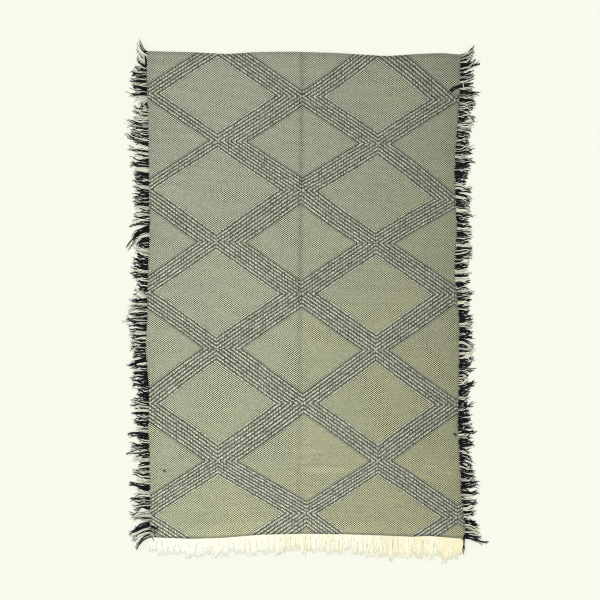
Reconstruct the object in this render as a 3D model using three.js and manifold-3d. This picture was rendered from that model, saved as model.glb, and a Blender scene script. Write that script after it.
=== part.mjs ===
// A flat-woven wool kilim, lying flat, in millimetres. X runs across the cloth, Y along it to the closed
// top edge, and Z is up from the surface that it lies on. The origin is under the middle of the whole.

import * as THREE from 'three';
import { mergeVertices } from 'three/addons/utils/BufferGeometryUtils.js';
import Module from 'manifold-3d';

const wasm = await Module();
wasm.setup();

// Driving sizes
const clothWidth = 1487; // between the straight lines that the side edges wander about
const clothLength = 2311; // between those of the two ends
const clothThickness = 4;
const cellsAcross = 30; // of the cloth's upper face
const cellsAlong = 44;
const rootGap = 0.3; // from the cloth's edge to a fringe's root strip
const stripWidth = 7; // of the strip that a fringe's roots are fused into
const stripHeight = 3.6;
const endMargin = 2; // a strip stops this far short of the cloth's corners
const edgeSmoothing = 25;

// Unevenness of the upper face: slack patches, the crease of a fold down the middle, and the thicker
// band where the warp turns round at the closed top edge.
const swellHeight = 0.5;
const creaseDepth = 0.8;
const creaseHalfWidth = 60;
const turnHeight = 0.9;
const turnWidth = 19;

// The edges wander: `at` is the distance from the top left corner's end of an edge, and `out` is how far
// the edge lies outside its straight line there.
const leftEdge = [
  { at: 0, out: 5 }, { at: 75, out: 10 }, { at: 300, out: 1 }, { at: 735, out: -4 },
  { at: 870, out: -6 }, { at: 1140, out: 5 }, { at: 1240, out: 3 }, { at: 1420, out: 13 },
  { at: 1595, out: -3 }, { at: 1780, out: 2 }, { at: 2115, out: -9 }, { at: 2311, out: -7 },
];
const rightEdge = [
  { at: 0, out: 12 }, { at: 110, out: 1 }, { at: 180, out: 5 }, { at: 330, out: -7 },
  { at: 545, out: -22 }, { at: 850, out: -10 }, { at: 1030, out: -22 }, { at: 1280, out: 1 },
  { at: 1520, out: 0 }, { at: 1765, out: -5 }, { at: 2110, out: 10 }, { at: 2265, out: 33 },
  { at: 2311, out: 22 },
];
const topEdge = [
  { at: 0, out: 7 }, { at: 210, out: 2 }, { at: 385, out: -7 }, { at: 500, out: 2 },
  { at: 680, out: 5 }, { at: 900, out: -2 }, { at: 1135, out: -17 }, { at: 1270, out: -7 },
  { at: 1395, out: -2 }, { at: 1487, out: -10 },
];
const bottomEdge = [
  { at: 0, out: 2 }, { at: 200, out: 10 }, { at: 355, out: 5 }, { at: 525, out: -10 },
  { at: 730, out: -14 }, { at: 920, out: -12 }, { at: 1130, out: -5 }, { at: 1245, out: 0 },
  { at: 1315, out: -5 }, { at: 1445, out: 6 }, { at: 1487, out: 10 },
];

// How the weft ends lie along each side, from the top down: at `at` they reach out from the cloth's edge by
// `reach`, and their tips are swept by `sweep` towards the bottom end.
const leftLie = [
  { at: 0, reach: 16, sweep: -38 }, { at: 40, reach: 36, sweep: -84 }, { at: 80, reach: 57, sweep: -108 },
  { at: 105, reach: 68, sweep: -60 }, { at: 135, reach: 74, sweep: -16 }, { at: 190, reach: 78, sweep: -8 },
  { at: 285, reach: 58, sweep: 5 }, { at: 375, reach: 66, sweep: 0 }, { at: 415, reach: 96, sweep: -20 },
  { at: 505, reach: 62, sweep: -5 }, { at: 550, reach: 78, sweep: -9 }, { at: 600, reach: 55, sweep: 0 },
  { at: 740, reach: 58, sweep: 2 }, { at: 800, reach: 68, sweep: 10 }, { at: 845, reach: 78, sweep: 52 },
  { at: 900, reach: 64, sweep: 26 }, { at: 965, reach: 56, sweep: -14 }, { at: 1055, reach: 72, sweep: -5 },
  { at: 1110, reach: 45, sweep: -16 }, { at: 1215, reach: 64, sweep: 4 }, { at: 1285, reach: 90, sweep: 0 },
  { at: 1400, reach: 60, sweep: 2 }, { at: 1480, reach: 80, sweep: 22 }, { at: 1600, reach: 56, sweep: 0 },
  { at: 1680, reach: 72, sweep: -5 }, { at: 1760, reach: 56, sweep: 0 }, { at: 1815, reach: 88, sweep: 6 },
  { at: 1850, reach: 52, sweep: 5 }, { at: 1905, reach: 90, sweep: 5 }, { at: 1990, reach: 60, sweep: 0 },
  { at: 2065, reach: 84, sweep: 4 }, { at: 2110, reach: 62, sweep: 0 }, { at: 2180, reach: 88, sweep: 18 },
  { at: 2240, reach: 78, sweep: 34 }, { at: 2285, reach: 66, sweep: 44 }, { at: 2311, reach: 40, sweep: 54 },
];
const rightLie = [
  { at: 0, reach: 56, sweep: -34 }, { at: 45, reach: 58, sweep: -34 }, { at: 70, reach: 80, sweep: -32 },
  { at: 110, reach: 60, sweep: -10 }, { at: 180, reach: 76, sweep: -2 }, { at: 280, reach: 62, sweep: 2 },
  { at: 345, reach: 66, sweep: 6 }, { at: 410, reach: 52, sweep: 4 }, { at: 460, reach: 82, sweep: -8 },
  { at: 515, reach: 84, sweep: 2 }, { at: 600, reach: 58, sweep: -3 }, { at: 690, reach: 68, sweep: 10 },
  { at: 770, reach: 84, sweep: 16 }, { at: 810, reach: 58, sweep: -4 }, { at: 910, reach: 74, sweep: 6 },
  { at: 1015, reach: 58, sweep: 0 }, { at: 1055, reach: 72, sweep: -5 }, { at: 1130, reach: 60, sweep: -14 },
  { at: 1170, reach: 76, sweep: -6 }, { at: 1230, reach: 56, sweep: 0 }, { at: 1330, reach: 66, sweep: 0 },
  { at: 1400, reach: 68, sweep: 18 }, { at: 1450, reach: 66, sweep: -3 }, { at: 1530, reach: 54, sweep: -6 },
  { at: 1565, reach: 78, sweep: -18 }, { at: 1610, reach: 52, sweep: 2 }, { at: 1670, reach: 68, sweep: -10 },
  { at: 1750, reach: 62, sweep: -12 }, { at: 1810, reach: 84, sweep: 0 }, { at: 1905, reach: 62, sweep: 12 },
  { at: 1990, reach: 66, sweep: 14 }, { at: 2060, reach: 80, sweep: -4 }, { at: 2165, reach: 66, sweep: -4 },
  { at: 2225, reach: 50, sweep: 10 }, { at: 2285, reach: 92, sweep: 34 }, { at: 2300, reach: 40, sweep: 58 },
  { at: 2311, reach: 14, sweep: 62 },
];

// Locks of the two kinds of fringe: how many, their width and height at the root and at the tip, and how
// much their length and their tips' places vary from one lock to the next.
const weftLocks = { count: 104, rootWidth: 16, tipWidth: 6, rootHeight: 3.4, tipHeight: 1.6, vary: 9, stray: 2 };
const warpLocks = { count: 88, rootWidth: 13, tipWidth: 6.5, rootHeight: 3, tipHeight: 1.4, vary: 8, stray: 1.5 };
const sweptNarrowing = 0.5; // how much narrower a lock gets as it lies along the edge instead of straight out
const warpReach = 104; // of the warp ends at the bottom
const lockStations = [0, 0.34, 0.7, 1]; // along a lock, from the strip to its tip

// A table's value at a place along its edge, straight from one row to the next.
function lookUp(table, column, at) {
  const next = table.findIndex((row) => row.at >= at);
  if (next === 0) return table[0][column];
  if (next < 0) return table[table.length - 1][column];
  const [before, after] = [table[next - 1], table[next]];
  return THREE.MathUtils.mapLinear(at, before.at, after.at, before[column], after[column]);
}

// The same for how far an edge lies out, with its corners rounded over `edgeSmoothing` to either side.
function edgeOut(table, at) {
  return (lookUp(table, 'out', at - edgeSmoothing) + 2 * lookUp(table, 'out', at)
    + lookUp(table, 'out', at + edgeSmoothing)) / 4;
}

// An even, repeatable scatter between -1 and 1 for lock number i.
function scatter(i, seed) {
  return 2 * THREE.MathUtils.euclideanModulo(Math.sin(12.9898 * i + 78.233 * seed) * 43758.5453, 1) - 1;
}

// The cloth's plan: u runs from the left edge to the right one, and v from the top end to the bottom.
function clothPoint(u, v) {
  const left = -clothWidth / 2 - edgeOut(leftEdge, v * clothLength);
  const right = clothWidth / 2 + edgeOut(rightEdge, v * clothLength);
  const top = clothLength / 2 + edgeOut(topEdge, u * clothWidth);
  const bottom = -clothLength / 2 - edgeOut(bottomEdge, u * clothWidth);
  return new THREE.Vector2(THREE.MathUtils.lerp(left, right, u), THREE.MathUtils.lerp(top, bottom, v));
}

// The upper face's height: the thickness, with two slow waves, less the crease, plus the top band.
function clothHeight(u, v) {
  const swell = swellHeight * Math.sin(9.4 * u + 2.1 * v) * Math.sin(13.2 * v - 3.3 * u + 0.8);
  const fromCrease = (u - 0.5) * clothWidth;
  const crease = creaseDepth * Math.exp(-((fromCrease / creaseHalfWidth) ** 2));
  const turn = v * clothLength < turnWidth ? turnHeight : 0;
  return clothThickness + swell - crease + turn;
}

// Where the grid's lines lie: even steps, with one more line along the inner side of the top band.
const evenShares = (count) => Array.from({ length: count + 1 }, (_, i) => i / count);
const columns = evenShares(cellsAcross);
const rows = [0, turnWidth / clothLength, ...evenShares(cellsAlong).slice(1)];

function fieldGeometry() {
  const positions = [];
  const faces = [];
  const perRow = columns.length;
  for (const v of rows) {
    for (const u of columns) {
      const plan = clothPoint(u, v);
      positions.push(plan.x, plan.y, clothHeight(u, v));
    }
  }
  for (let j = 0; j + 1 < rows.length; j += 1) {
    for (let i = 0; i + 1 < perRow; i += 1) {
      const a = j * perRow + i;
      faces.push(a, a + perRow, a + 1, a + 1, a + perRow, a + perRow + 1);
    }
  }

  // The rim runs anticlockwise seen from above: down the left edge, along the bottom, up and back.
  const lastRow = rows.length - 1;
  const rim = [
    ...rows.slice(0, -1).map((_, j) => j * perRow),
    ...columns.slice(0, -1).map((_, i) => lastRow * perRow + i),
    ...rows.slice(1).map((_, j) => (lastRow - j) * perRow + perRow - 1),
    ...columns.slice(1).map((_, i) => perRow - 1 - i),
  ];
  const outline = rim.map((index) => new THREE.Vector2(positions[3 * index], positions[3 * index + 1]));
  const firstLower = positions.length / 3;
  outline.forEach((point) => positions.push(point.x, point.y, 0));
  rim.forEach((upper, k) => {
    const next = (k + 1) % rim.length;
    faces.push(upper, firstLower + k, rim[next], rim[next], firstLower + k, firstLower + next);
  });
  for (const [a, b, c] of THREE.ShapeUtils.triangulateShape(outline, [])) {
    faces.push(firstLower + a, firstLower + c, firstLower + b);
  }
  const geometry = new THREE.BufferGeometry();
  geometry.setAttribute('position', new THREE.Float32BufferAttribute(positions, 3));
  geometry.setIndex(faces);
  return geometry;
}

function toSolid(geometry) {
  const bare = geometry.clone();
  bare.deleteAttribute('normal');
  bare.deleteAttribute('uv');
  const merged = mergeVertices(bare, 1e-4);
  return new wasm.Manifold(new wasm.Mesh({
    numProp: 3,
    vertProperties: new Float32Array(merged.attributes.position.array),
    triVerts: new Uint32Array(merged.index.array),
  }));
}

function fromSolid(solid) {
  const mesh = solid.getMesh();
  const geometry = new THREE.BufferGeometry();
  geometry.setAttribute('position', new THREE.BufferAttribute(new Float32Array(mesh.vertProperties), 3));
  geometry.setIndex(new THREE.BufferAttribute(new Uint32Array(mesh.triVerts), 1));
  return geometry;
}

// A strip beside an edge of the cloth, from its inner line to one that lies stripWidth further out.
function stripGeometry(innerLine, outward) {
  const outerLine = innerLine.map((point) => point.clone().addScaledVector(outward, stripWidth));
  const shape = new THREE.Shape([...innerLine, ...outerLine.reverse()]);
  return new THREE.ExtrudeGeometry(shape, { depth: stripHeight, bevelEnabled: false });
}

// One lock: a tapering bar of three sides, with a flat base on the surface and a ridge along its top. Its
// middle line leaves the strip outwards and bends the more the further its tip is swept.
function lockGeometry(root, outward, along, lie, size) {
  const bend = Math.abs(lie.sweep) / (lie.reach + Math.abs(lie.sweep));
  const middle = lockStations.map((t) => root.clone()
    .addScaledVector(outward, (lie.reach - rootGap - stripWidth / 2) * (t + bend * t * (1 - t)))
    .addScaledVector(along, lie.sweep * t * t));
  const positions = [];
  middle.forEach((point, k) => {
    const ahead = middle[Math.min(k + 1, middle.length - 1)];
    const behind = middle[Math.max(k - 1, 0)];
    const heading = k === 0 ? outward : ahead.clone().sub(behind).normalize();
    const across = new THREE.Vector2(-heading.y, heading.x);
    const half = THREE.MathUtils.lerp(size.rootWidth, size.tipWidth, lockStations[k]) / 2
      * (1 - sweptNarrowing * bend);
    const height = THREE.MathUtils.lerp(size.rootHeight, size.tipHeight, lockStations[k]);
    positions.push(point.x + across.x * half, point.y + across.y * half, 0);
    positions.push(point.x - across.x * half, point.y - across.y * half, 0);
    positions.push(point.x, point.y, height);
  });
  const faces = [0, 1, 2];
  for (let k = 0; k + 1 < middle.length; k += 1) {
    for (let side = 0; side < 3; side += 1) {
      const [a, b] = [3 * k + side, 3 * k + (side + 1) % 3];
      faces.push(a, a + 3, b, b, a + 3, b + 3);
    }
  }
  const tip = 3 * (middle.length - 1);
  faces.push(tip, tip + 2, tip + 1);
  const geometry = new THREE.BufferGeometry();
  geometry.setAttribute('position', new THREE.Float32BufferAttribute(positions, 3));
  geometry.setIndex(faces);
  return geometry;
}

// A fringe: a strip along an edge, and its locks. `cornerPoint` gives the edge's corner at each of the
// shares of its length in `stations`, between which it is straight, and `lieAt` says how a lock lies.
function fringeGeometry({ cornerPoint, stations, outward, along, length, lieAt, size, seed }) {
  const edgePoint = (share) => {
    const next = Math.max(1, stations.findIndex((station) => station >= share));
    const [before, after] = [stations[next - 1], stations[next]];
    return cornerPoint(before).lerp(cornerPoint(after), (share - before) / (after - before));
  };
  const margin = endMargin / length;
  const shares = [margin, ...stations.filter((s) => s > margin && s < 1 - margin), 1 - margin];
  const innerLine = shares.map((share) => edgePoint(share).addScaledVector(outward, rootGap));
  let solid = toSolid(stripGeometry(innerLine, outward));
  for (let i = 0; i < size.count; i += 1) {
    const share = (i + 0.5 + 0.12 * scatter(i, seed)) / size.count;
    const lie = lieAt(share * length);
    lie.reach += size.vary * scatter(i, seed + 1);
    lie.sweep += size.stray * scatter(i, seed + 2);
    const root = edgePoint(share).addScaledVector(outward, rootGap + stripWidth / 2);
    solid = solid.add(toSolid(lockGeometry(root, outward, along, lie, size)));
  }
  return fromSolid(solid);
}

const rightward = new THREE.Vector2(1, 0);
const leftward = new THREE.Vector2(-1, 0);
const downward = new THREE.Vector2(0, -1); // towards the bottom end

function sideLie(table) {
  return (at) => ({ reach: lookUp(table, 'reach', at), sweep: lookUp(table, 'sweep', at) });
}

// The warp ends lie straight down, in slow drifts to either side.
function warpLie(at) {
  return { reach: warpReach + 5 * Math.sin(at / 83), sweep: 9 * Math.sin(at / 61) * Math.sin(at / 190) };
}

const materials = {
  field: new THREE.MeshStandardMaterial({ color: 0x96987f, roughness: 0.95, metalness: 0 }),
  weftEnds: new THREE.MeshStandardMaterial({ color: 0x3f4038, roughness: 0.95, metalness: 0 }),
  warpEnds: new THREE.MeshStandardMaterial({ color: 0xece6cb, roughness: 0.95, metalness: 0 }),
};

const group = new THREE.Group();

function addPiece(name, geometry, material) {
  const mesh = new THREE.Mesh(geometry, material);
  mesh.name = name;
  group.add(mesh);
}

addPiece('rug_field', fieldGeometry(), materials.field);
addPiece('fringe_left', fringeGeometry({
  cornerPoint: (share) => clothPoint(0, share), stations: rows, outward: leftward, along: downward,
  length: clothLength, lieAt: sideLie(leftLie), size: weftLocks, seed: 1,
}), materials.weftEnds);
addPiece('fringe_right', fringeGeometry({
  cornerPoint: (share) => clothPoint(1, share), stations: rows, outward: rightward, along: downward,
  length: clothLength, lieAt: sideLie(rightLie), size: weftLocks, seed: 5,
}), materials.weftEnds);
addPiece('fringe_bottom', fringeGeometry({
  cornerPoint: (share) => clothPoint(share, 1), stations: columns, outward: downward, along: rightward,
  length: clothWidth, lieAt: warpLie, size: warpLocks, seed: 9,
}), materials.warpEnds);

// The origin goes under the middle of the whole rug, fringes included.
const middle = new THREE.Box3().setFromObject(group).getCenter(new THREE.Vector3());
group.position.set(-middle.x, -middle.y, 0);

export default group;
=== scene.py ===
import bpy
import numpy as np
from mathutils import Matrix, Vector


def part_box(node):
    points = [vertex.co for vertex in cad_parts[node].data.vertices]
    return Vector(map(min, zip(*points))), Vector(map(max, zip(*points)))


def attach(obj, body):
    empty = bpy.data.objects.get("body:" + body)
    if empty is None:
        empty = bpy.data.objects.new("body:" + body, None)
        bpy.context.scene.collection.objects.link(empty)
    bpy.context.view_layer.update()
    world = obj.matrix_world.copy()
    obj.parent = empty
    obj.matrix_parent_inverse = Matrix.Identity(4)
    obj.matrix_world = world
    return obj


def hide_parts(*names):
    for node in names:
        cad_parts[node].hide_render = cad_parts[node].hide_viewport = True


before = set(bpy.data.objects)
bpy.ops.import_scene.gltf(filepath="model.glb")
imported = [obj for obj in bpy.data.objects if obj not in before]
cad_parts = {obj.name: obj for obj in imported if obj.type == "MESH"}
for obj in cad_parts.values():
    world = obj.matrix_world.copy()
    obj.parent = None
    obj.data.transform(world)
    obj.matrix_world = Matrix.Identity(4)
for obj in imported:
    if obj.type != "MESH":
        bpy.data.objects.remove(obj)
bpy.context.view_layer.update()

# A flat-woven wool kilim lying on a pale floor, seen from straight above. Tables and sizes are in
# millimetres as they are in the CAD part, and meshes in metres.

mm = 0.001
print("frame loaded")


# The plan of the cloth, as in the CAD part: `at` runs along an edge from its top left end, and `out` is
# how far the edge lies outside its straight line.
plan = {
    "width": 1487.0,
    "length": 2311.0,
    "edgeSmoothing": 25.0,
    "beatenDown": 4.5,
    "left": [(0, 5), (75, 10), (300, 1), (735, -4), (870, -6), (1140, 5), (1240, 3), (1420, 13), (1595, -3),
             (1780, 2), (2115, -9), (2311, -7)],
    "right": [(0, 12), (110, 1), (180, 5), (330, -7), (545, -22), (850, -10), (1030, -22), (1280, 1),
              (1520, 0), (1765, -5), (2110, 10), (2265, 33), (2311, 22)],
    "top": [(0, 7), (210, 2), (385, -7), (500, 2), (680, 5), (900, -2), (1135, -17), (1270, -7),
            (1395, -2), (1487, -10)],
    "bottom": [(0, 2), (200, 10), (355, 5), (525, -10), (730, -14), (920, -12), (1130, -5), (1245, 0),
               (1315, -5), (1445, 6), (1487, 10)],
}


# A table's second column at any place along its first, straight from one row to the next.
def lookUp(table, at):
    rows = np.array(table, dtype=float)
    return np.interp(at, rows[:, 0], rows[:, 1])


# How far an edge lies out: the table's value there, averaged with those a little before and after.
def edgeOut(name, at):
    table, soft = plan[name], plan["edgeSmoothing"]
    return (lookUp(table, at - soft) + 2 * lookUp(table, at) + lookUp(table, at + soft)) / 4


# The cloth's plan: x goes straight from the left edge to the right one with u, and y from the top edge
# to the bottom one with v. At the bottom end the last wefts are beaten down a little over the warp
# ends.
def clothPlan(u, v):
    left = -plan["width"] / 2 - edgeOut("left", v * plan["length"])
    right = plan["width"] / 2 + edgeOut("right", v * plan["length"])
    top = plan["length"] / 2 + edgeOut("top", u * plan["width"])
    bottom = -plan["length"] / 2 - edgeOut("bottom", u * plan["width"]) - plan["beatenDown"]
    return left + (right - left) * u, top + (bottom - top) * v


# Where the cloth's own middle lies in the frame: the middle between the CAD cloth's sides less that
# between the plan's, and its top less the plan's top.
def planMiddle():
    share = np.linspace(0, 1, 2001)
    xs = np.concatenate([clothPlan(share * 0, share)[0], clothPlan(share * 0 + 1, share)[0]])
    top = clothPlan(share, share * 0)[1].max()
    low, high = (np.array(corner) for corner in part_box("rug_field"))
    return np.array([(low[0] + high[0]) / 2 - (xs.min() + xs.max()) / 2 * mm, high[1] - top * mm])


middle = planMiddle()

# Camera: straight above, framed as the picture of the rug is. `seen` is how wide a stretch it sees at
# the height `over` the floor, and `farthest` is in metres.
cameraSettings = {
    "aim": (-16.7, -27.5),
    "seen": 2868.0,
    "lens": 100.0,
    "sensor": 36.0,
    "over": 4.0,
    "farthest": 100,
}


# Its height over what it sees is the width seen times the lens over the sensor.
def addCamera():
    data = bpy.data.cameras.new("camera")
    data.lens = cameraSettings["lens"]
    data.sensor_width = cameraSettings["sensor"]
    data.clip_end = cameraSettings["farthest"]
    camera = bpy.data.objects.new("camera", data)
    aimX, aimY = np.array(cameraSettings["aim"]) * mm + middle
    height = cameraSettings["seen"] * data.lens / data.sensor_width + cameraSettings["over"]
    camera.location = (aimX, aimY, height * mm)
    bpy.context.collection.objects.link(camera)
    bpy.context.scene.camera = camera


addCamera()
print("camera placed")


# One socket of a material. Sums on it add Math nodes, also with a plain number on either side.
class Value:
    def __init__(self, material, socket):
        self.material = material
        self.socket = socket

    def maths(self, operation, *others):
        return self.material.add("ShaderNodeMath", {"operation": operation}, [self, *others])

    def __add__(self, other):
        return self.maths("ADD", other)

    __radd__ = __add__

    def __sub__(self, other):
        return self.maths("SUBTRACT", other)

    def __rsub__(self, other):
        return self.material.add("ShaderNodeMath", {"operation": "SUBTRACT"}, [other, self])

    def __mul__(self, other):
        return self.maths("MULTIPLY", other)

    __rmul__ = __mul__

    def __truediv__(self, other):
        return self.maths("DIVIDE", other)

    def __mod__(self, other):
        return self.maths("FLOORED_MODULO", other)

    def __pow__(self, other):
        return self.maths("POWER", other)

    def __abs__(self):
        return self.maths("ABSOLUTE")

    def __lt__(self, other):
        return self.maths("LESS_THAN", other)

    def __gt__(self, other):
        return self.maths("GREATER_THAN", other)


# A procedural material. `add` makes any node from its type, its settings, and its inputs' values or
# links.
class Material:
    def __init__(self, name, constants):
        self.data = bpy.data.materials.new(name)
        self.data.use_nodes = True
        self.nodes = self.data.node_tree.nodes
        self.links = self.data.node_tree.links
        self.shader = self.nodes["Principled BSDF"]
        for socket, value in constants.items():
            self.shader.inputs[socket].default_value = value

    def add(self, kind, settings=None, inputs=(), output=0):
        node = self.nodes.new(kind)
        for key, value in (settings or {}).items():
            setattr(node, key, value)
        named = inputs.items() if isinstance(inputs, dict) else enumerate(inputs)
        for key, value in named:
            self.feed(node.inputs[key], value)
        return Value(self, node.outputs[output])

    def feed(self, socket, value):
        if isinstance(value, Value):
            self.links.new(value.socket, socket)
        else:
            socket.default_value = value

    def split(self, vector):
        parts = self.add("ShaderNodeSeparateXYZ", None, [vector]).socket.node
        return [Value(self, parts.outputs[axis]) for axis in range(3)]

    def vector(self, x, y):
        return self.add("ShaderNodeCombineXYZ", None, [x, y])

    # Noise about nought, from -0.5 to 0.5.
    def noise(self, vector, scale, detail, roughness=0.5):
        inputs = {"Vector": vector, "Scale": scale, "Detail": detail, "Roughness": roughness}
        return self.add("ShaderNodeTexNoise", None, inputs) - 0.5

    # A chance number from 0 to 1 for each whole place.
    def chance(self, vector):
        return self.add("ShaderNodeTexWhiteNoise", {"noise_dimensions": "2D"}, {"Vector": vector})

    # From the first colour to the second, by a share.
    def blend(self, share, first, second):
        return self.add("ShaderNodeMix", {"data_type": "RGBA"}, {0: share, 6: first, 7: second}, 2)

    # A colour made lighter or darker by a value.
    def shade(self, colour, value):
        return self.add("ShaderNodeVectorMath", {"operation": "SCALE"}, {0: colour, "Scale": value})

    # A soft step from `low` at the start to `high` at the end.
    def smooth(self, value, start, end, low=0.0, high=1.0):
        inputs = {"Value": value, "From Min": start, "From Max": end, "To Min": low, "To Max": high}
        return self.add("ShaderNodeMapRange", {"interpolation_type": "SMOOTHSTEP"}, inputs)

    # It rises by one for each step from the first place to the second, falls to the third, and so on.
    def zigzag(self, value, places):
        total = -sum((-1) ** turn * (place - places[0]) for turn, place in enumerate(places))
        for turn, place in enumerate(places):
            total = abs(value - place) * (-1) ** turn + total
        return total

    # Links the colour, the roughness and a bump of the height.
    def finish(self, colour, roughness, height, distance, strength):
        inputs = {"Height": height, "Distance": distance, "Strength": strength}
        bump = self.add("ShaderNodeBump", None, inputs)
        self.feed(self.shader.inputs["Base Color"], colour)
        self.feed(self.shader.inputs["Roughness"], roughness)
        self.feed(self.shader.inputs["Normal"], bump)


# Grids of the same shape as the columns of one table, with a row for each of their places.
def asRows(*grids):
    return np.stack(grids, -1).reshape(-1, len(grids))


# A mesh object at the origin, from points in millimetres about the cloth's own middle.
def addPiece(name, points, faces, material):
    places = points * mm
    places[:, :2] += middle
    mesh = bpy.data.meshes.new(name)
    mesh.from_pydata(places, [], faces)
    mesh.polygons.foreach_set("use_smooth", np.ones(len(mesh.polygons), dtype=bool))
    mesh.materials.append(material.data)
    piece = bpy.data.objects.new(name, mesh)
    bpy.context.collection.objects.link(piece)
    return piece


# A UV map of a piece from one pair of numbers for each of its points.
def addMap(piece, name, pairs):
    corners = np.empty(len(piece.data.loops), dtype=np.int32)
    piece.data.loops.foreach_get("vertex_index", corners)
    layer = piece.data.uv_layers.new(name=name)
    layer.data.foreach_set("uv", pairs[corners].astype(np.float32).ravel())


# The cloth. `crease` is the fold's depth and half its width, and `turn` the rise of the top band, its
# width and the width of its slope. The lattice's crossings have whole numbers from -1, and hand work
# moves them about: `across` is how far right of the middle each number lies at the top end, halfway and
# at the bottom end, and `along` is how far below the top edge it lies at the left, in the middle and at
# the right. `columns` and `rows` are the crossings' places in checks. Each diamond of plain ground is
# framed by dark rings, from the bands' middle inwards: `rings` is their number, row by row from the
# left, and `edgeRings` that of the diamonds which the cloth's edges cut off. `bandMiddle` is the weave
# number along the middle of the bands, and each ring takes `numbersPerRing`. `wander` is how far slow
# waves move the lattice, in crossings.
cloth = {
    "thickness": 4.0,
    "cells": (150, 236),
    "rim": (0.0, 0.5, 1.4, 3.0),
    "swell": 0.5,
    "crease": (0.8, 60.0),
    "turn": (0.9, 19.0, 3.0),
    "across": [(-1120, -1128, -1114), (-741, -743, -737), (-408, -419, -407), (-1, -13, 19),
               (358, 344, 359), (732, 719, 740), (1105, 1090, 1115)],
    "along": [(-250, -240, -230), (-22, -12, -60), (195, 207, 228), (414, 430, 445), (654, 656, 705),
              (903, 911, 918), (1144, 1153, 1158), (1410, 1419, 1430), (1677, 1674, 1684),
              (1953, 1953, 1953), (2214, 2200, 2222), (2459, 2469, 2479)],
    "columns": [-58, 0, 50, 112, 166, 224, 282],
    "rows": [-50, 0, 50, 100, 154, 208, 262, 320, 374, 432, 494, 552],
    "rings": [(2, 4, 4), (3, 2), (1, 5, 4), (3, 2), (3, 5, 5), (3, 2), (3, 5, 5), (3, 1), (4, 5, 6),
              (3, 1), (2, 5, 4)],
    "edgeRings": 3,
    "bandMiddle": 46,
    "numbersPerRing": 4,
    "wander": 0.006,
}


# Shares of a length for a grid's lines: even steps, and closer ones along the rim at both ends.
def gridShares(count, length):
    rim = np.array(cloth["rim"]) / length
    return np.concatenate([rim, np.linspace(0, 1, count + 1)[1:-1], 1 - rim[::-1]])


# The upper face's height: the thickness, with the product of two slow sine waves, less the crease,
# which is a bell curve across the cloth, plus the top band.
def clothHeight(u, v):
    depth, half = cloth["crease"]
    rise, wide, slope = cloth["turn"]
    swell = cloth["swell"] * np.sin(9.4 * u + 2.1 * v) * np.sin(13.2 * v - 3.3 * u + 0.8)
    crease = depth * np.exp(-(((u - 0.5) * plan["width"] / half) ** 2))
    turn = rise * np.clip((wide - v * plan["length"]) / slope + 0.5, 0, 1)
    return cloth["thickness"] + swell - crease + turn


# The number at a place along one line of the lattice, among the numbers' own places on that line: -1,
# and one more for each whole number passed, with the share of the gap that it stands in. The places go
# straight from the first to the halfway ones and from there to the last.
def numberAt(places, share, at):
    first, halfway, last = np.array(places, dtype=float).T[:, :, None, None]
    here = first + (halfway - first) * np.clip(2 * share, 0, 1)
    here = here + (last - halfway) * np.clip(2 * share - 1, 0, 1)
    return np.clip((at - here[:-1]) / (here[1:] - here[:-1]), 0, 1).sum(axis=0) - 1


# A place's two numbers in the lattice, each with two slow sine waves added.
def latticePlace(x, y):
    at = plan["length"] / 2 - y
    p = numberAt(cloth["across"], at / plan["length"], x)
    q = numberAt(cloth["along"], p / 4, at)
    slow = cloth["wander"]
    wideP = p + slow * (np.sin(2.1 * q + 0.6) + 0.7 * np.sin(5.3 * q - 1.9 * p))
    wideQ = q + slow * (np.sin(2.7 * p - 0.4) + 0.7 * np.sin(4.1 * p + 2.3 * q))
    return wideP, wideQ


# Between which weave numbers a band lies at a place. The numbers rise from the middle of a diamond in
# an even column of crossings to that of one in an odd column. So the nearest diamond, if it is of the
# first kind, sets the lower limit, that many rings under the band's middle, and if it is of the second
# kind the higher one. The other limit is left open.
def bandLimits(p, q):
    margin, noLimit = 4, 1000
    size = (len(cloth["across"]) + 2 * margin, len(cloth["along"]) + 2 * margin)
    rings = np.full(size, float(cloth["edgeRings"]))
    for row, numbers in enumerate(cloth["rings"]):
        start = margin + row % 2
        rings[start:start + 2 * len(numbers):2, margin + row] = numbers
    rising, falling = np.round((p + q) / 2), np.round((p - q) / 2)
    middleP, middleQ = (rising + falling).astype(int), (rising - falling).astype(int)
    reach = cloth["numbersPerRing"] * rings[middleP + margin, middleQ + margin]
    odd = middleP % 2
    lowest = np.where(odd, -noLimit, cloth["bandMiddle"] + 1.5 - reach)
    highest = np.where(odd, cloth["bandMiddle"] + 0.5 + reach, noLimit)
    return lowest, highest


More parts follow.
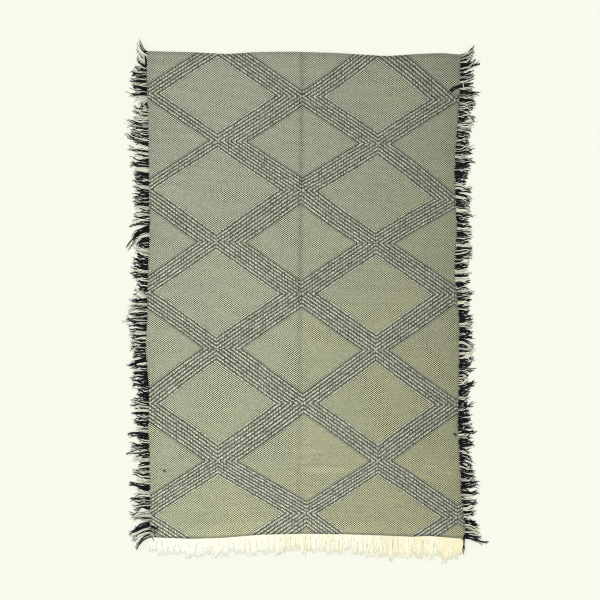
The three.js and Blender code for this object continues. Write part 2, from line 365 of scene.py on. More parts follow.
# Upper and lower faces are one grid each, which meet at half height along the rim: the height leaves
# the middle of the edge as a quarter circle does. Both faces have the same maps.
def clothSurface():
    across, down = cloth["cells"]
    u, v = np.meshgrid(gridShares(across, plan["width"]), gridShares(down, plan["length"]))
    x, y = clothPlan(u, v)
    inward = np.minimum(np.minimum(u, 1 - u) * plan["width"], np.minimum(v, 1 - v) * plan["length"])
    roundness = np.sqrt(1 - (1 - np.clip(inward / cloth["rim"][-1], 0, 1)) ** 2)
    upper = clothHeight(u, v) * (0.5 + 0.5 * roundness)
    lower = clothHeight(u, v) * (0.5 - 0.5 * roundness)
    rows, columns = u.shape
    number = np.arange(rows * columns).reshape(rows, columns)
    beneath = number + rows * columns
    rim = inward < 1e-6
    beneath[rim] = number[rim]
    points = np.concatenate([asRows(x, y, upper), asRows(x, y, lower)])
    quads = []
    for grid, order in ((number, (0, 1, 2, 3)), (beneath, (0, 3, 2, 1))):
        corners = [grid[:-1, :-1], grid[1:, :-1], grid[1:, 1:], grid[:-1, 1:]]
        quads.append(asRows(*(corners[k] for k in order)))
    quads = np.concatenate(quads)
    kept = np.unique(quads)
    renumbered = np.zeros(len(points), dtype=int)
    renumbered[kept] = np.arange(len(kept))
    p, q = latticePlace(x, y)
    columnAt = np.interp(p, np.arange(len(cloth["columns"])) - 1, cloth["columns"])
    rowAt = np.interp(q, np.arange(len(cloth["rows"])) - 1, cloth["rows"])
    maps = {
        "weave": asRows(columnAt, rowAt),
        "limits": asRows(*bandLimits(p, q)),
        "OFBake": asRows(u, 1 - v),
    }
    maps = {name: np.concatenate([pairs, pairs])[kept] for name, pairs in maps.items()}
    return points[kept], renumbered[quads].tolist(), maps


# The weave. Bands along the lattice's lines are a twill of four steps, and the ground between them is a
# plain chequer. `even` is the most that the chequer's two colours run together in places, and `jitter`
# how far whole columns and rows shift, in checks. `beads` is how much lighter every other column of a
# band is, and `cells`, `yarns`, `batches` and `patches` how much the tone changes from check to check
# of a band, from yarn to yarn, along the rows and over the rug. `broadDarkening` is how much darker the
# rug gets over a metre to the right, over a metre squared either way, and over a metre upwards. `fold`
# is how far right of the middle the fold lies, its slant, half its width and how dark the painted shade
# in its crease is. A row of `edgeShadeAndTones` holds an edge, where a change of tone starts and ends
# inwards from it, and the tone before and after. The darkening right at each edge is painted shade where
# the yarn turns down and where the top end doubles back, and the gentler steps further in are changes of
# tone. A row of `highlightStreaks`, painted highlights where the cloth puckers, holds how far right of
# the middle and below the top edge it lies, its two radii and its strength, and a row of `stains` the
# same with one radius.
weave = {
    "cream": (0.56, 0.605, 0.44, 1),
    "creamWarm": (0.597, 0.598, 0.352, 1),
    "creamBand": (0.378, 0.395, 0.306, 1),
    "black": (0.022, 0.026, 0.012, 1),
    "blackBand": (0.068, 0.074, 0.042, 1),
    "beads": 0.42,
    "cells": 1.0,
    "even": 0.48,
    "jitter": 0.9,
    "yarns": 0.3,
    "batches": 0.16,
    "patches": 0.22,
    "broadDarkening": (0.19, 0.21, 0.1),
    "fold": (-16, 0.007, 13, 0.125),
    "edgeShadeAndTones": [("side", 0, 16, 0.8, 0.95), ("side", 16, 70, 1, 1.0526), ("top", 12, 22, 0.84, 0.96),
                  ("top", 22, 100, 1, 1.045), ("bottom", 5, 17, 0.66, 1.08), ("bottom", 35, 80, 1, 0.92)],
    "highlightStreaks": [(103, 1996, 115, 16, 0.17), (18, 1905, 90, 20, 0.1), (614, 1980, 60, 8, 0.24),
                (700, 2011, 40, 12, 0.18), (560, 2030, 60, 10, 0.1)],
    "stains": [(-665, 2000, 9.0, 0.9), (-681, 1991, 5.0, 0.5)],
    "stain": (0.06, 0.058, 0.02, 1),
}


# How far a place is from a mark, squared: both ways in the mark's own radii.
def awayFrom(x, y, markX, at, wide, high):
    acrossShare = (x - markX * mm) / (wide * mm)
    upShare = (y - (plan["length"] / 2 - at) * mm) / (high * mm)
    return acrossShare ** 2 + upShare ** 2


# The cloth's wool. Column and row give each check its weave number. The chequer is cream where it is
# odd, and the twill where it is 2 or 3 past a multiple of 4. All that lightens or darkens the yarn, the
# painted shade and highlights among it, is one factor.
def clothMaterial():
    constants = {"Specular IOR Level": 0.25, "Sheen Weight": 0.2, "Sheen Roughness": 0.6}
    made = Material("kilimWeave", constants)
    place = made.add("ShaderNodeTexCoord", None, (), "Object")
    x, y, _ = made.split(place)
    flat = made.vector(x, y)
    u, v, _ = made.split(made.add("ShaderNodeUVMap", {"uv_map": "weave"}))

    # Uneven warp spacing and beating shift whole columns and rows a little.
    u = u + 0.5 + made.noise(made.vector(u * 0.21, 3.7), 1.0, 3.0, 0.6) * weave["jitter"]
    v = v + 0.5 + made.noise(made.vector(v * 0.19, 9.1), 1.0, 3.0, 0.6) * weave["jitter"]
    column, row = u.maths("FLOOR"), v.maths("FLOOR")
    number = made.zigzag(column, cloth["columns"][1:-1]) + made.zigzag(row, cloth["rows"][1:])
    lowest, highest, _ = made.split(made.add("ShaderNodeUVMap", {"uv_map": "limits"}))
    inBand = (number > lowest) * (number < highest)
    blur = made.smooth(made.noise(flat, 11.0, 2.0, 0.6), -0.05, 0.25, 0, weave["even"])
    chequer = (number % 2 - 0.5) * (1 - blur) + 0.5
    twill = (number % 4) > 1.5
    isCream = chequer + inBand * (twill - chequer)

    # Yarn: two wefts to a check, half a weft apart in neighbouring columns, over two warps.
    weft = (v * 2 + (column % 2) * 0.5) % 1
    rib = (u * 2) % 1
    hump = 1 - (weft * 2 - 1) ** 2
    bulge = 1 - (rib * 2 - 1) ** 2
    fibre = made.noise(made.vector(x * 260, y * 1500), 1.0, 3.0)
    yarn = made.chance(made.vector(column, (v * 2).maths("FLOOR"))) - 0.5
    cell = made.chance(made.vector(column, row + 0.5)) - 0.5
    bead = inBand * ((column % 2 - 0.5) * weave["beads"] + cell * weave["cells"])
    batch = made.noise(made.vector(u * 0.012, v * 0.16), 1.0, 3.0)
    patches = made.noise(flat, 3.2, 3.0, 0.55)
    uneven = patches * weave["patches"] + batch * weave["batches"] + yarn * weave["yarns"] + bead

    # Broad darkening towards the right, both sides and the top. Painted shade darkens the edges where the
    # yarn turns down, and where the top end doubles back.
    x, y = x - float(middle[0]), y - float(middle[1])
    across, upward, _ = made.split(made.add("ShaderNodeUVMap", {"uv_map": "OFBake"}))
    inward = {
        "side": across.maths("MINIMUM", 1 - across) * plan["width"],
        "top": (1 - upward) * plan["length"],
        "bottom": upward * plan["length"],
    }
    toRight, eitherWay, toTop = weave["broadDarkening"]
    toneAndEdgeShade = (1 - x * toRight - x * x * eitherWay) * (1 - y * toTop)
    # Painted shade right at each edge, then gentler changes of tone further in.
    for edge, start, end, before, after in weave["edgeShadeAndTones"]:
        toneAndEdgeShade = made.smooth(inward[edge], start, end, before, after) * toneAndEdgeShade

    # Painted shade in the fold's crease, a bell curve that is stronger towards the top, and painted
    # highlights in streaks where the cloth puckers.
    foldX, slant, half, dark = weave["fold"]
    fold = (x - foldX * mm - y * slant) / (half * mm)
    foldShadeAndHighlights = (fold * fold * -1).maths("EXPONENT") * made.smooth(y, -0.6, 0.3, 0.8, 2.0) * -dark
    for streakX, at, wide, high, strength in weave["highlightStreaks"]:
        away = awayFrom(x, y, streakX, at, wide, high) + batch * 3
        foldShadeAndHighlights = made.smooth(away, 1.3, 0.1, 0, strength) + foldShadeAndHighlights

    light = toneAndEdgeShade * (1 + uneven + foldShadeAndHighlights)
    warm = made.smooth(x * 0.35 - y * 0.3 + patches * 0.8, -0.45, 0.55)
    nearBand = made.smooth((number - lowest).maths("MINIMUM", highest - number), -3.0, 0.5)
    cream = made.blend(warm, weave["cream"], weave["creamWarm"])
    cream = made.blend(nearBand, cream, weave["creamBand"])
    black = made.blend(inBand, weave["black"], weave["blackBand"])
    colour = made.blend(isCream, black, cream)
    # The humps of the yarn are lighter and the grooves between them darker: painted shade in the grooves.
    colour = made.shade(colour, light * (0.86 + 0.2 * hump * bulge + fibre * 0.25))
    for stainX, at, radius, strength in weave["stains"]:
        away = awayFrom(x, y, stainX, at, radius, radius).maths("SQRT") + fibre * 0.8
        colour = made.blend(made.smooth(away, 1.25, 0.6, 0, strength), colour, weave["stain"])
    height = 0.55 * hump + 0.45 * bulge + fibre * 0.35
    made.finish(colour, 0.88 + fibre * 0.15, height, 0.9 * mm, 0.7)
    return made


# The cloth's object with its maps.
def addCloth():
    points, faces, maps = clothSurface()
    piece = addPiece("rugField", points, faces, clothMaterial())
    for name, pairs in maps.items():
        addMap(piece, name, pairs)
    return piece


rugField = addCloth()
print("cloth made")


# The picture of the rug, which the locks below were read from, in its pixels: how many
# millimetres a pixel shows, and where the cloth's middle lies across it and the straight line of the top
# edge down it.
picture = {"pixel": 4.78, "middle": 303.5, "top": 52.5}

# Side fringes: the weft ends, in locks. A lock's row holds how far down the picture it leaves the cloth,
# how far across and how far down its tip lies, and its share of black yarn.
sides = {
    "left": [
        (54, 140, 43, .7), (58, 138, 45, .15), (64, 137, 51, .2), (68, 137.5, 60, .6), (72, 135, 68, .5),
        (77, 132, 75, .1), (81, 131, 80, .3), (85, 134, 85, .1), (91, 133, 86, .85),
        (93, 131.5, 88.5, .15), (93.8, 128.5, 93, .95), (94.6, 132, 94.6, .05), (96, 132, 97.6, .95),
        (98, 134, 101, .6), (100, 139, 105.5, .1), (104, 141, 107, .95), (109, 142, 110, .95),
        (112, 133.5, 106, .05), (115, 133.5, 112, .05), (117, 139, 115.5, .85), (119, 134, 117, .1),
        (121.5, 134, 119.5, .4), (125, 128.5, 123.5, .95), (129, 133, 127, .6), (132, 132.5, 129, .05),
        (134.5, 132.5, 132.5, .15), (139, 132, 135.3, .85), (141.5, 131, 137, .3),
        (145, 125.5, 136.5, .95), (146.5, 134, 142.5, .85), (149, 129.5, 147, .4),
        (152.5, 128.6, 149.7, .7), (155, 133, 153, .1), (158, 134, 156, .3), (160.5, 141, 160, .9),
        (163, 132.5, 160, .3), (166, 131, 165.3, .5), (169, 133, 168.5, .3), (172, 136, 170, .15),
        (175, 135, 174, .95), (178.5, 136, 178, .85), (180.5, 140, 180, .2), (185, 133.8, 181, .97),
        (188.5, 135, 184.5, .15), (191, 134.6, 187.5, .4), (194.5, 136, 191, .9), (197, 134, 196.3, .8),
        (199.5, 136, 198, .1), (202.5, 135.5, 200, .7), (205, 134.5, 203, .05), (209, 135, 207, .05),
        (212, 141, 210, .8), (215, 135, 214.5, .7), (218, 133.5, 219.5, .6), (220.5, 135, 221.5, .2),
        (223.5, 131.5, 226, .7), (226.5, 134, 236, .97), (230, 133, 241.5, .97), (232.5, 126.5, 248, .5),
        (235, 133.5, 243.5, .05), (238, 135, 244.5, .1), (242, 139, 242, .9), (247, 138.5, 244, .95),
        (250, 135, 246, .15), (253, 134.6, 249, .1), (256, 136.5, 251.5, .95), (260, 137.5, 256.5, .3),
        (264, 134.5, 260.5, .85), (269, 134, 265.2, .8), (272, 132.5, 268.5, .1), (275, 131.5, 272, .6),
        (277, 133, 277, .95), (280, 136, 279, .3), (284, 138, 280, .8), (287.5, 138, 284, .15),
        (290, 139, 287, .9), (293, 134, 291.5, .1), (296, 141, 293, .9), (299, 134, 297, .6),
        (302, 132.5, 300.5, .6), (305, 135, 303, .15), (308, 132, 307.5, .7), (311, 131, 310.5, .7),
        (313, 130.5, 315, .85), (316.5, 131, 318.5, .15), (320, 126.8, 319.5, .9),
        (324, 128, 323.5, .95), (326.5, 133, 326, .1), (329.5, 129.5, 329, .9), (332.5, 130, 332, .05),
        (335.3, 131, 335, .95), (337.5, 133, 338, .1), (340, 132, 339.5, .95), (343.5, 130.5, 341.7, .8),
        (346.5, 133, 345, .8), (350, 132, 348.5, .5), (353, 134, 351.5, .85), (356, 133, 354.5, .9),
        (358.5, 132, 363, .97), (360.5, 127.5, 364, .97), (362.5, 134, 365, .05),
        (365.5, 131, 366.4, .9), (368.5, 134.5, 368, .1), (371.5, 134, 371, .8), (374.5, 134, 373, .6),
        (377.5, 131.5, 378.5, .9), (381, 135, 380.6, .4), (384.5, 132.6, 385.5, .6),
        (388, 138, 387.5, .8), (391, 139, 391, .2), (393.5, 137, 394, .8), (397, 140, 396.5, .9),
        (400, 133.5, 399.5, .02), (403, 131, 402.5, .85), (406, 133.5, 406.5, .8),
        (409.5, 138, 408.5, .1), (412.5, 131.8, 413.2, .95), (415, 140, 414.5, .1),
        (418.5, 136.5, 417, .95), (421, 134, 421.5, .97), (424, 136.5, 424, .95), (427, 137.5, 427, .9),
        (430.5, 139, 430, .15), (434, 128.3, 433.6, .95), (438, 138, 437.5, .95),
        (440.5, 138.5, 441, .1), (443, 139, 443, .9), (445, 131.5, 445, .8), (448, 130, 449.5, .85),
        (450.5, 128, 453, .85), (452.5, 139, 452, .1), (455.5, 136, 456, .95), (458.5, 133.5, 459, .1),
        (462.5, 139, 463, .95), (465.5, 133.5, 468, .8), (468.5, 138, 468, .15),
        (471.5, 137, 471.5, .05), (474.5, 133.8, 473.3, .9), (478, 140, 476.5, .1),
        (481, 137, 480.5, .6), (485, 130.2, 484, .97), (489, 138, 488, .8), (492.5, 136, 493.5, .5),
        (495.5, 137, 496, .2), (498, 131.2, 498.5, .85), (501.5, 136.5, 502, .8),
        (504.5, 133, 506.5, .5), (507, 140, 505.5, .9), (509.5, 131, 511.5, .4),
        (511.5, 129.3, 514.7, .85), (514, 138, 514.5, .1), (516.5, 133, 517, .6), (518.5, 138, 519, .05),
        (521.5, 134.5, 526.3, .97), (524.5, 130.2, 532.8, .95), (527.5, 132.7, 537, .6),
        (530.5, 134.5, 540, .3), (533.5, 136.4, 547.2, .75),
    ],
    "right": [
        (53, 472, 47, .5), (54.8, 473.5, 46, .7), (57, 473, 52, .05), (60, 471, 55.5, .97),
        (63.5, 470.5, 58.5, .95), (66, 474, 58, .1), (68.5, 478.5, 60.7, .85), (70.5, 467, 67, .95),
        (72.2, 472, 68, .1), (74, 472.7, 72.7, .85), (75.6, 472.5, 74, .1), (77.8, 472.5, 76, .97),
        (80.5, 472, 79, .3), (83.5, 471.5, 82, .6), (86, 473, 86, .5), (89, 473, 88.5, .9),
        (91, 477.3, 90, .95), (93.8, 474, 94.8, .02), (96.5, 473, 98, .97), (98.5, 475, 99.7, .95),
        (100.3, 474, 101, .1), (102, 473.5, 102.3, .85), (104, 472.5, 104.5, .1), (106, 472, 106.5, .5),
        (108.5, 472, 107.5, .6), (110, 474, 117.5, .05), (113.5, 467, 113.5, .97),
        (117, 468.5, 116, .97), (120.5, 465, 119, .97), (121.5, 474, 119, .05), (124, 472, 123, .05),
        (127, 470, 127, .05), (129.8, 469.5, 131, .35), (132.8, 468, 133, .2), (135.8, 467, 137.5, .9),
        (138, 468, 138, .15), (140, 468.5, 141, .95), (142.2, 468.5, 142.5, .05),
        (144.5, 465, 145.5, .95), (147, 470, 146, .8), (149, 472.5, 147, .1), (150.8, 472.5, 148.3, .85),
        (153, 468, 151.5, .1), (156, 471.5, 156.3, .5), (159.5, 472.5, 159.8, .7),
        (162.5, 469, 162.5, .1), (165.5, 469, 165.5, .6), (168.3, 468.5, 169, .5), (171, 467, 171.5, .4),
        (174, 468, 175, .85), (177, 465, 178, .97), (180.5, 464.5, 181, .95), (183.5, 470.4, 186.3, .8),
        (186, 467, 188, .4), (189, 469.5, 188.6, .85), (191.8, 470, 196, .9), (194, 468, 198, .1),
        (197, 470, 199.3, .4), (199, 469, 203, .1), (202, 467, 203, .97), (205, 468.5, 206, .9),
        (207.3, 468, 209, .15), (209.3, 470, 211.5, .9), (211.5, 473, 214, .85), (214, 467, 215.5, .1),
        (218, 467.5, 217, .9), (220, 468, 221, .1), (222.3, 466.5, 222, .95), (225, 470.5, 226, .2),
        (228, 469, 227.5, .2), (231, 470, 233, .9), (233.5, 465, 233, .8), (235.5, 470, 235.5, .2),
        (237.5, 470, 238.5, .8), (240.5, 468, 239.5, .9), (242, 469, 241.5, .1), (244.2, 469.5, 243, .8),
        (246.3, 471, 247, .5), (248.5, 471, 248, .2), (251, 470, 249.5, .1), (253.5, 471.6, 250.4, .97),
        (256, 470, 254, .05), (259, 463, 258, .95), (261.5, 468.5, 260, .2), (265, 466.5, 264.5, .95),
        (268, 467, 268.5, .15), (271, 470, 272.5, .9), (273.6, 468, 273, .9), (276.3, 468, 275, .05),
        (280, 468.5, 278.5, .97), (282.5, 467.5, 280.5, .95), (285, 466.5, 282.5, .05),
        (288, 467.5, 285.5, .97), (291.5, 471, 291, .1), (294.3, 471.8, 292.5, .7),
        (297, 470, 295.5, .92), (299.6, 469, 298.5, .1), (303, 467.5, 300.5, .9), (305.5, 469, 305, .3),
        (309, 469, 308, .97), (312.3, 468, 312, .97), (315, 471, 315, .35), (318, 470, 318, .95),
        (321.3, 471.5, 321, .3), (324, 471.5, 323.5, .1), (326.5, 469, 328, .98), (329.3, 472, 330, .98),
        (332, 469, 332, .97), (334.8, 471.5, 336.5, .97), (337, 473, 344, .95), (339.2, 472.5, 345, .05),
        (343, 467, 344.5, .9), (345.6, 471, 347.5, .1), (348.5, 466.5, 348.5, .9), (351, 473, 350, .2),
        (354, 463.5, 353, .9), (356, 472, 354.5, .1), (359, 472, 357.5, .9), (361.2, 471, 361, .25),
        (364, 469, 364, .95), (366.6, 473.5, 366.5, .85), (368.2, 469, 368, .1),
        (369.8, 468, 369.5, .95), (371.3, 468.5, 371, .1), (374.5, 466.5, 374.5, .97),
        (378.5, 467, 377, .25), (381, 468, 379.5, .2), (383.5, 474.5, 377.5, .97), (386, 473, 382.5, .4),
        (389.5, 467, 388.5, .3), (392.3, 469, 390.5, .9), (395, 468, 394, .4), (397.7, 468, 397.5, .8),
        (399.3, 467.5, 399.5, .1), (401, 468.5, 400.5, .7), (403, 467, 402, .15),
        (404.8, 473, 400.8, .9), (407, 469.5, 406, .9), (409.5, 468.5, 409, .05),
        (411.3, 468, 410.5, .8), (415, 469.5, 413, .97), (418.3, 470, 416, .1),
        (420.6, 468.5, 418.5, .9), (423, 471, 424.5, .3), (425.6, 470, 425, .7), (428, 472, 428.5, .97),
        (430.3, 475.6, 430.4, .97), (432.3, 468, 432, .3), (434.5, 470, 434.5, .85),
        (437, 470, 437.5, .15), (439.4, 472, 439.5, .8), (442, 472.5, 442, .85), (445, 468, 446, .8),
        (447.4, 470.5, 449, .15), (449.6, 471, 455, .05), (451.8, 467.5, 451.8, .95),
        (454, 471.5, 460, .05), (456, 464.5, 456, .9), (458.5, 471, 462.5, .5), (461, 466, 466, .8),
        (464, 471.5, 467, .25), (467, 474, 469.8, .3), (471, 474, 474, .98), (474.2, 471, 476.8, .98),
        (477, 473, 476.5, .15), (480, 476.5, 480, .95), (482.3, 475, 482, .1), (485, 476, 484, .95),
        (487.5, 469, 488, .15), (489.8, 476.5, 489.8, .92), (492.5, 475, 493, .9),
        (494.8, 467, 495, .05), (496.8, 475.5, 496.3, .9), (499.6, 475.5, 498, .8),
        (502, 473, 500.5, .7), (505, 471, 503.5, .05), (508, 475, 505.5, .95), (510, 474.5, 508.5, .95),
        (512, 473, 511.5, .15), (514, 470.5, 517, .8), (516, 475.5, 520.5, .8), (518, 477, 523, .05),
        (521, 478, 525, .3), (524, 478.5, 529, .2), (526.5, 475, 527.5, .8), (529, 478.5, 532, .1),
        (531, 477, 535, .1), (533, 480, 536, .8), (535, 486.5, 542, .95), (536.3, 483, 543, .6),
    ],
}

# Loose yarns that lie over the cloth or over the fringe. A row holds where they start, below the top
# edge and out from the side edge, how far out and how far down they end from there, their curl, their
# number, and 1 for black or 0 for cream.
looseYarns = {
    "left": [(22, 9, -8, 58, 6, 14, 1), (2262, -4, -44, 8, 9, 5, 1), (2274, 0, -36, 26, 7, 3, 1),
             (2306, -3, -20, 27, 1, 1, 1), (1410, 40, 26, 32, 3, 2, 0), (1213, 62, 42, 50, 6, 2, 0)],
    "right": [(150, 4, -58, 34, 4, 10, 1), (138, 14, 6, 48, 2, 3, 0), (1812, -22, 16, 18, 1, 2, 1),
              (2296, 2, -8, 92, 9, 7, 1), (2302, 4, 88, 34, 2, 4, 1), (1800, 0, 30, -38, 2, 2, 0),
              (1760, 34, 40, 30, 2, 2, 0), (2290, 2, -14, 36, 8, 3, 1)],
}

# The yarns of a side. `tuck` is how far they start inside the cloth's edge, and `out` how much further
# out than that. They rise by `lift` over each layer of yarns beneath, and the loose ones start as high
# as `over`. They close in on their lock's tip by `gather`. A `strand` is so many yarns, which sway and
# curl by up to so much. `turns` is how often a yarn is twisted. `distinct` and then `moreBlack` bring
# the locks' shares of black towards a half and towards one, and `black` is the most that a share can
# be. The spreads are the ranges that chance draws from.
yarns = {
    "count": 1100,
    "segments": 9,
    "sides": 5,
    "radius": 2.1,
    "radiusSpread": (0.8, 1.2),
    "taper": 0.55,
    "tuck": 2.0,
    "tuckSpread": (-5, 3),
    "out": {"left": 0.0, "right": 4.0},
    "lift": 2.6,
    "over": 3.6,
    "longer": {"left": 0.98, "right": 1.02},
    "reachSpread": (0.9, 1.12),
    "sweepSpread": (0.9, 1.1),
    "looseSpread": (0.7, 1.05),
    "gather": 0.6,
    "strand": 2,
    "sway": 24.0,
    "curl": 8.0,
    "turns": 7.0,
    "distinct": 0.7,
    "moreBlack": {"left": 0.2, "right": 0.46},
    "black": 0.9,
}


# The middle line of each yarn, t from 0 at the root to 1 at the tip: it goes out from its start by its
# reach, sooner the more it is swept, aside by the sweep times t to the 1.4, and curls from side to side
# by a sine that grows with t. It leaves the cloth's edge low, rises over the yarns beneath by half a
# sine and comes down.
def yarnLines(rootX, rootY, outward, along, lock, segments):
    start, reach, sweep, radius, layer, base, curl, waves, phase = (value[:, None] for value in lock)
    t = np.linspace(0, 1, segments + 1)[None, :]
    bend = np.abs(sweep) / (np.abs(reach) + np.abs(sweep) + 1)
    turn = 2 * np.pi * (waves * t + phase)
    out = start + (reach - start * (base == 0)) * (t + bend * t * (1 - t)) + 0.4 * curl * t * np.cos(turn)
    aside = sweep * t**1.4 + curl * t * np.sin(turn)
    hump = np.sin(np.pi * np.clip(t * 1.15, 0, 1)) ** 0.7
    high = base + radius * (1 - 0.2 * t) + layer * yarns["lift"] * hump
    x = rootX[:, None] + outward[0] * out + along[0] * aside
    y = rootY[:, None] + outward[1] * out + along[1] * aside
    return np.stack([x, y, high], axis=-1)


# Tubes about middle lines: a ring of points round each point of a line, square to its heading, as wide
# as the radius, less the taper's share of it times t cubed. Both ends are capped.
def tubes(lines, radius, ringSides):
    count, stations, _ = lines.shape
    t = np.linspace(0, 1, stations)
    heading = np.gradient(lines, axis=1)
    heading /= np.linalg.norm(heading, axis=2, keepdims=True)
    across = np.cross([0.0, 0.0, 1.0], heading)
    across /= np.linalg.norm(across, axis=2, keepdims=True)
    upward = np.cross(heading, across)
    angle = 2 * np.pi * np.arange(ringSides) / ringSides
    taper = 1 - yarns["taper"] * t**3
    wide = (radius[:, None] * taper)[:, :, None, None]
    ring = np.cos(angle)[:, None] * across[:, :, None, :] + np.sin(angle)[:, None] * upward[:, :, None, :]
    points = lines[:, :, None, :] + wide * ring
    number = np.arange(count * stations * ringSides).reshape(count, stations, ringSides)
    after = np.roll(number, -1, axis=2)
    quads = asRows(number[:, :-1], after[:, :-1], after[:, 1:], number[:, 1:])
    caps = np.concatenate([number[:, 0, ::-1], number[:, -1, :]])
    return points.reshape(-1, 3), quads.tolist() + caps.tolist()


# A yarn's own map: once round it, and along it by its turns of twist. In the bake's map each yarn has a
# cell of its own, less a margin, which the two sides of its tube share.
def yarnMaps(count, stations, ringSides, turns):
    cells, margin = int(np.ceil(np.sqrt(count))), 0.08
    inside = 1 - 2 * margin
    index = np.arange(count)[:, None, None]
    t = np.linspace(0, 1, stations)[:, None]
    angle = np.arange(ringSides) / ringSides
    shape = (count, stations, ringSides)
    own = asRows(np.broadcast_to(angle, shape), np.broadcast_to(t * turns, shape))
    cellX = index % cells + margin + inside * np.broadcast_to(1 - np.abs(2 * angle - 1), shape)
    cellY = index // cells + margin + inside * np.broadcast_to(t, shape)
    return own, asRows(cellX, cellY) / cells


# Wool yarn, twisted of two plies. The point values `tone` (0 cream to 1 black), `warm` and `shade` come
# from the fringe's own draws. Painted shade darkens the yarn towards the root: its light rises from the
# root's share of it to all of it, over six tenths of the yarn. The twist lightens the plies and darkens
# the grooves between them, which is painted shade too.
def yarnMaterial(name, wool):
    constants = {"Specular IOR Level": 0.15, "Sheen Weight": wool["sheen"], "Sheen Roughness": 0.5}
    made = Material(name, constants)
    tone, warm, shade = (made.add("ShaderNodeAttribute", {"attribute_name": label}, (), "Fac")
                         for label in ("tone", "warm", "shade"))
    around, lengthwise, _ = made.split(made.add("ShaderNodeUVMap", {"uv_map": "yarn"}))
    place = made.add("ShaderNodeTexCoord", None, (), "Object")
    twist = ((around * 2 + lengthwise) * (2 * np.pi)).maths("COSINE")
    fibre = made.noise(place, 900.0, 3.0)
    colour = made.blend(tone, made.blend(warm, wool["cream"], wool["warm"]), wool["black"])
    # The twist's term is painted shade in the grooves between the plies.
    light = wool["light"] + (shade * 0.8 + twist * 0.12 + fibre * 0.6) * wool["uneven"]
    # Painted shade towards the root.
    rootShade = wool["root"] + (1 - wool["root"]) * made.smooth(lengthwise, 0, 0.6 * yarns["turns"])
    colour = made.shade(colour, light * rootShade)
    made.finish(colour, 0.85 + fibre * 0.2, twist * 0.5 + fibre, 0.6 * mm, 0.8 * wool["uneven"])
    return made


# A piece of yarns, with their maps and with each value on all points of its yarn.
def addYarns(name, lines, radius, values, material):
    count, stations, _ = lines.shape
    points, faces = tubes(lines, radius, yarns["sides"])
    piece = addPiece(name, points, faces, material)
    own, cells = yarnMaps(count, stations, yarns["sides"], yarns["turns"])
    addMap(piece, "yarn", own)
    addMap(piece, "OFBake", cells)
    for label, numbers in values.items():
        layer = piece.data.attributes.new(label, "FLOAT", "POINT")
        layer.data.foreach_set("value", np.repeat(numbers, stations * yarns["sides"]).astype(np.float32))
    return piece


# The two wools. `light` is the tone of the yarn, `uneven` how much it changes, and `root` its share at
# the root, where painted shade darkens it.
sideWool = {
    "cream": (0.60, 0.63, 0.505, 1),
    "warm": (0.60, 0.58, 0.41, 1),
    "black": (0.004, 0.0055, 0.006, 1),
    "sheen": 0.02,
    "light": 1.0,
    "uneven": 1.0,
    "root": 0.8,
}
warpWool = {
    "cream": (0.885, 0.90, 0.80, 1),
    "warm": (0.80, 0.745, 0.49, 1),
    "black": (0.1, 0.1, 0.08, 1),
    "sheen": 0.5,
    "light": 0.99,
    "uneven": 0.06,
    "root": 0.95,
}


# The locks of a side, a row each: how far below the top edge they leave the cloth, how far they reach
# out from it, how far their tips are swept towards the bottom end, and their share of black yarn. The
# readings are out by half a pixel or so, so whole millimetres are near enough.
def lockRows(key):
    rootDown, tipAcross, tipDown, share = np.array(sides[key], dtype=float).T
    at = (rootDown - picture["top"]) * picture["pixel"]
    tip = abs(tipAcross - picture["middle"]) * picture["pixel"]
    reach = tip - plan["width"] / 2 - edgeOut(key, at)
    sweep = (tipDown - rootDown) * picture["pixel"]
    return np.stack([at.round(), reach.round(), sweep.round(), share], axis=1)


# The yarns of a side's locks. Each belongs to the lock whose row is nearest and closes in on its tip.
# Neighbours make a strand, which sways and curls as one, and are mostly of one colour. A few yarns are
# thin wisps that reach further.
def lockYarns(rng, key):
    count = yarns["count"]
    locks = lockRows(key)
    at = (np.arange(count) + 0.5 + rng.uniform(-0.8, 0.8, count)) / count * plan["length"]
    at = np.clip(at, 2, plan["length"] - 2)
    lockAt, reach, sweep, share = locks[np.abs(at[:, None] - locks[:, 0]).argmin(axis=1)].T
    strand = (np.arange(count) + rng.integers(0, 2, count)) // yarns["strand"]
    colourDraw, sway, wave, phase, shade = rng.uniform(0, 1, (5, count))[:, strand]
    wisp = rng.uniform(0, 1, count) ** 6
    reach = reach * (rng.uniform(*yarns["reachSpread"], count) + 0.2 * wisp) * yarns["longer"][key]
    sweep = sweep * rng.uniform(*yarns["sweepSpread"], count) - (at - lockAt) * yarns["gather"]
    sweep = sweep + (sway - 0.5) * yarns["sway"] + rng.normal(0, 3, count)
    radius = yarns["radius"] * rng.uniform(*yarns["radiusSpread"], count) * (1 - 0.4 * wisp)
    start = rng.uniform(*yarns["tuckSpread"], count) - yarns["tuck"] + yarns["out"][key]
    curl = 2 + yarns["curl"] * wave
    share = 0.5 + (share - 0.5) * yarns["distinct"]
    share = share + yarns["moreBlack"][key] * (1 - share)
    tone = (colourDraw < np.minimum(share, yarns["black"])).astype(float)
    layer = rng.integers(0, 3, count) + 0.6 * (1 - tone)
    return (at, start, reach, sweep, radius, layer, curl, tone), (sway, phase, shade)


# The loose yarns of a side, as many as each row says, with a little chance in their place and length.
def strayYarns(rng, key):
    rows = np.array(looseYarns[key], dtype=float)
    rows = np.repeat(rows, rows[:, 5].astype(int), axis=0)
    at, start, reach, sweep, curl, _, tone = rows.T
    count = len(rows)
    at = at + rng.uniform(-6, 6, count)
    start = start + rng.uniform(-2, 2, count)
    reach = reach * rng.uniform(*yarns["looseSpread"], count)
    sweep = sweep * rng.uniform(*yarns["looseSpread"], count)
    radius = 0.8 * yarns["radius"] * rng.uniform(*yarns["radiusSpread"], count)
    layer = rng.uniform(0, 0.6, count)
    return at, start, reach, sweep, radius, layer, curl, tone


